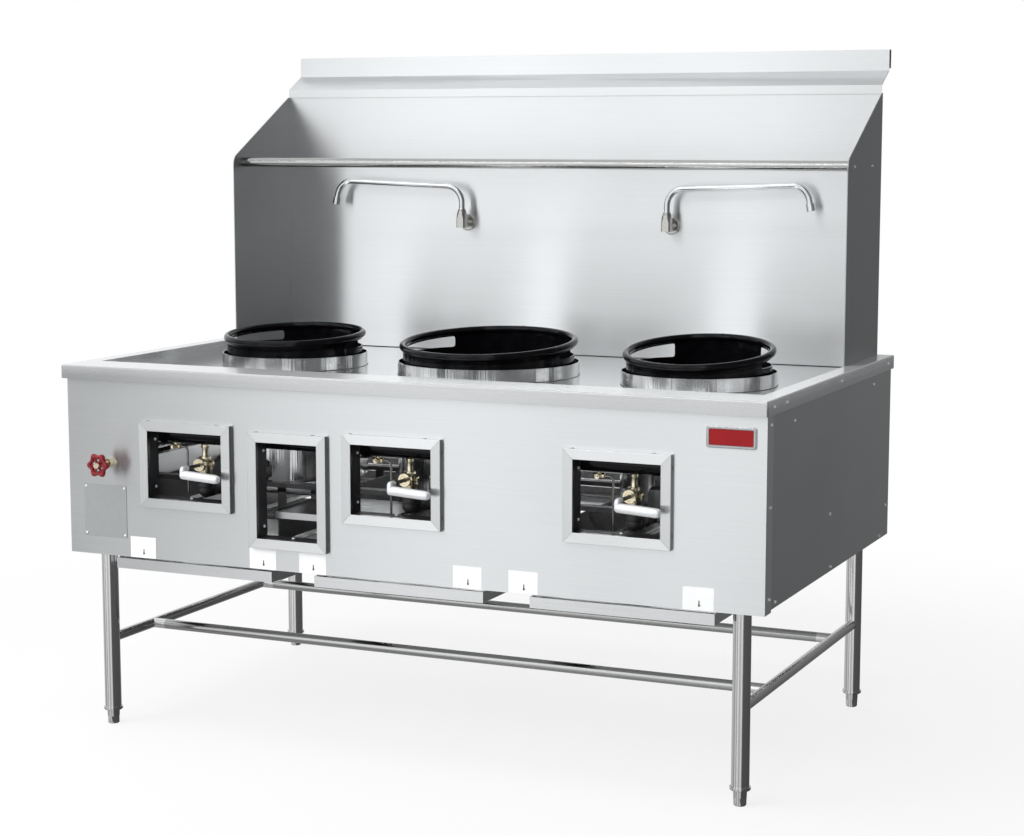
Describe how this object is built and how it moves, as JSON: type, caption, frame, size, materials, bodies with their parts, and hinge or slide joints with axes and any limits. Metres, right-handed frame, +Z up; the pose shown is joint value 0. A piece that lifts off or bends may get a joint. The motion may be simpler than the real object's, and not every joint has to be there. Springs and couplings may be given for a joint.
{
  "type": "wok range",
  "caption": "Floor-standing gas wok range with raised chambers, lift-off wok rings, a splash back with swing spouts and a rail, pull-out drip trays and a tubular leg frame.",
  "frame": {"origin": "on the floor, at the middle of the bounding box in X and Y", "axes": "+Z up, +X to the right as seen by the cook, +Y from the front panel to the splash back"},
  "size_m": [1.8346, 1.194, 1.706],
  "materials": {
    "aluminium": "satin turned",
    "black_enamel": "glossy heat-resistant black coat",
    "black_steel": "semi-gloss black",
    "brass": "machined",
    "galvanised": "plain sheet",
    "iron": "rough black iron fitting",
    "plate": "matt plate with no lettering",
    "polished": "bright plated",
    "red": "gloss red",
    "stainless": "satin sheet, brushed lengthwise",
    "tube": "polished tube"
  },
  "bodies": {
    "cabinet": {"badge_plate": "plate", "bottom_frame": "black_steel", "burner_feed_pipes": "iron", "burner_jets": "brass", "burners": "iron", "chamber_liners": "black_enamel", "chamber_shell_left": "stainless", "chamber_shell_middle": "stainless", "chamber_shell_right": "stainless", "data_plate": "plate", "deck_top": "stainless", "faucet_bodies": "polished", "front_panel": "stainless", "gas_cocks": "brass", "gas_manifold": "black_steel", "inner_shelf": "stainless", "leg_sockets": "galvanised", "legs": "tube", "long_stretchers": "tube", "manifold_brackets": "black_steel", "panel_screws": "polished", "pilot_tubes": "galvanised", "pilot_valves": "brass", "rail_pipe": "tube", "rear_panel": "galvanised", "side_panel_left": "stainless", "side_panel_right": "stainless", "side_stretchers": "tube", "splash_back": "stainless", "splash_wing_left": "stainless", "splash_wing_right": "stainless", "tee_fittings": "tube", "top_shelf": "stainless", "tray_runners": "galvanised", "water_pipes": "galvanised", "water_valve": "brass", "window_frames": "stainless", "window_liners": "stainless"},
    "valve_left": {"valve_lever_left": "aluminium", "valve_stem_left": "black_steel"},
    "tray_left": {"drip_tray_left": "stainless"},
    "ring_left": {"wok_ring_left": "black_enamel"},
    "valve_middle": {"valve_lever_middle": "aluminium", "valve_stem_middle": "black_steel"},
    "tray_middle": {"drip_tray_middle": "stainless"},
    "ring_middle": {"wok_ring_middle": "black_enamel"},
    "valve_right": {"valve_lever_right": "aluminium", "valve_stem_right": "black_steel"},
    "tray_right": {"drip_tray_right": "stainless"},
    "ring_right": {"wok_ring_right": "black_enamel"},
    "spout_left": {"swing_spout_left": "polished", "aerator_left": "polished"},
    "spout_right": {"swing_spout_right": "polished", "aerator_right": "polished"},
    "wheel": {"hand_wheel": "red", "wheel_spindle": "polished"},
    "foot_front_left": {"levelling_foot_front_left": "tube"},
    "foot_front_right": {"levelling_foot_front_right": "tube"},
    "foot_rear_left": {"levelling_foot_rear_left": "tube"},
    "foot_rear_right": {"levelling_foot_rear_right": "tube"}
  },
  "joints": [
    {"name": "valve_left_turn", "type": "hinge", "parent": "cabinet", "child": "valve_left", "pos_m": [-0.549, -0.537, 0.687], "axis": [0, 1, 0], "range_deg": [0, 90]},
    {"name": "valve_middle_turn", "type": "hinge", "parent": "cabinet", "child": "valve_middle", "pos_m": [0.015, -0.537, 0.687], "axis": [0, 1, 0], "range_deg": [0, 90]},
    {"name": "valve_right_turn", "type": "hinge", "parent": "cabinet", "child": "valve_right", "pos_m": [0.579, -0.537, 0.687], "axis": [0, 1, 0], "range_deg": [0, 90]},
    {"name": "hand_wheel_turn", "type": "hinge", "parent": "cabinet", "child": "wheel", "pos_m": [-0.7875, -0.582, 0.683], "axis": [0, -1, 0], "range_deg": [0, 720]},
    {"name": "spout_left_swing", "type": "hinge", "parent": "cabinet", "child": "spout_left", "pos_m": [-0.302, 0.474, 1.246], "axis": [0, 0, 1], "range_deg": [0, 180]},
    {"name": "spout_right_swing", "type": "hinge", "parent": "cabinet", "child": "spout_right", "pos_m": [0.302, 0.474, 1.246], "axis": [0, 0, 1], "range_deg": [-180, 0]},
    {"name": "tray_left_pull", "type": "slide", "parent": "cabinet", "child": "tray_left", "axis": [0, -1, 0], "range_m": [0, 0.7]},
    {"name": "tray_middle_pull", "type": "slide", "parent": "cabinet", "child": "tray_middle", "axis": [0, -1, 0], "range_m": [0, 0.7]},
    {"name": "tray_right_pull", "type": "slide", "parent": "cabinet", "child": "tray_right", "axis": [0, -1, 0], "range_m": [0, 0.7]},
    {"name": "ring_left_lift", "type": "slide", "parent": "cabinet", "child": "ring_left", "axis": [0, 0, 1], "range_m": [0, 0.2]},
    {"name": "ring_middle_lift", "type": "slide", "parent": "cabinet", "child": "ring_middle", "axis": [0, 0, 1], "range_m": [0, 0.2]},
    {"name": "ring_right_lift", "type": "slide", "parent": "cabinet", "child": "ring_right", "axis": [0, 0, 1], "range_m": [0, 0.2]},
    {"name": "foot_front_left_screw", "type": "slide", "parent": "cabinet", "child": "foot_front_left", "axis": [0, 0, -1], "range_m": [0, 0.025]},
    {"name": "foot_front_right_screw", "type": "slide", "parent": "cabinet", "child": "foot_front_right", "axis": [0, 0, -1], "range_m": [0, 0.025]},
    {"name": "foot_rear_left_screw", "type": "slide", "parent": "cabinet", "child": "foot_rear_left", "axis": [0, 0, -1], "range_m": [0, 0.025]},
    {"name": "foot_rear_right_screw", "type": "slide", "parent": "cabinet", "child": "foot_rear_right", "axis": [0, 0, -1], "range_m": [0, 0.025]}
  ]
}
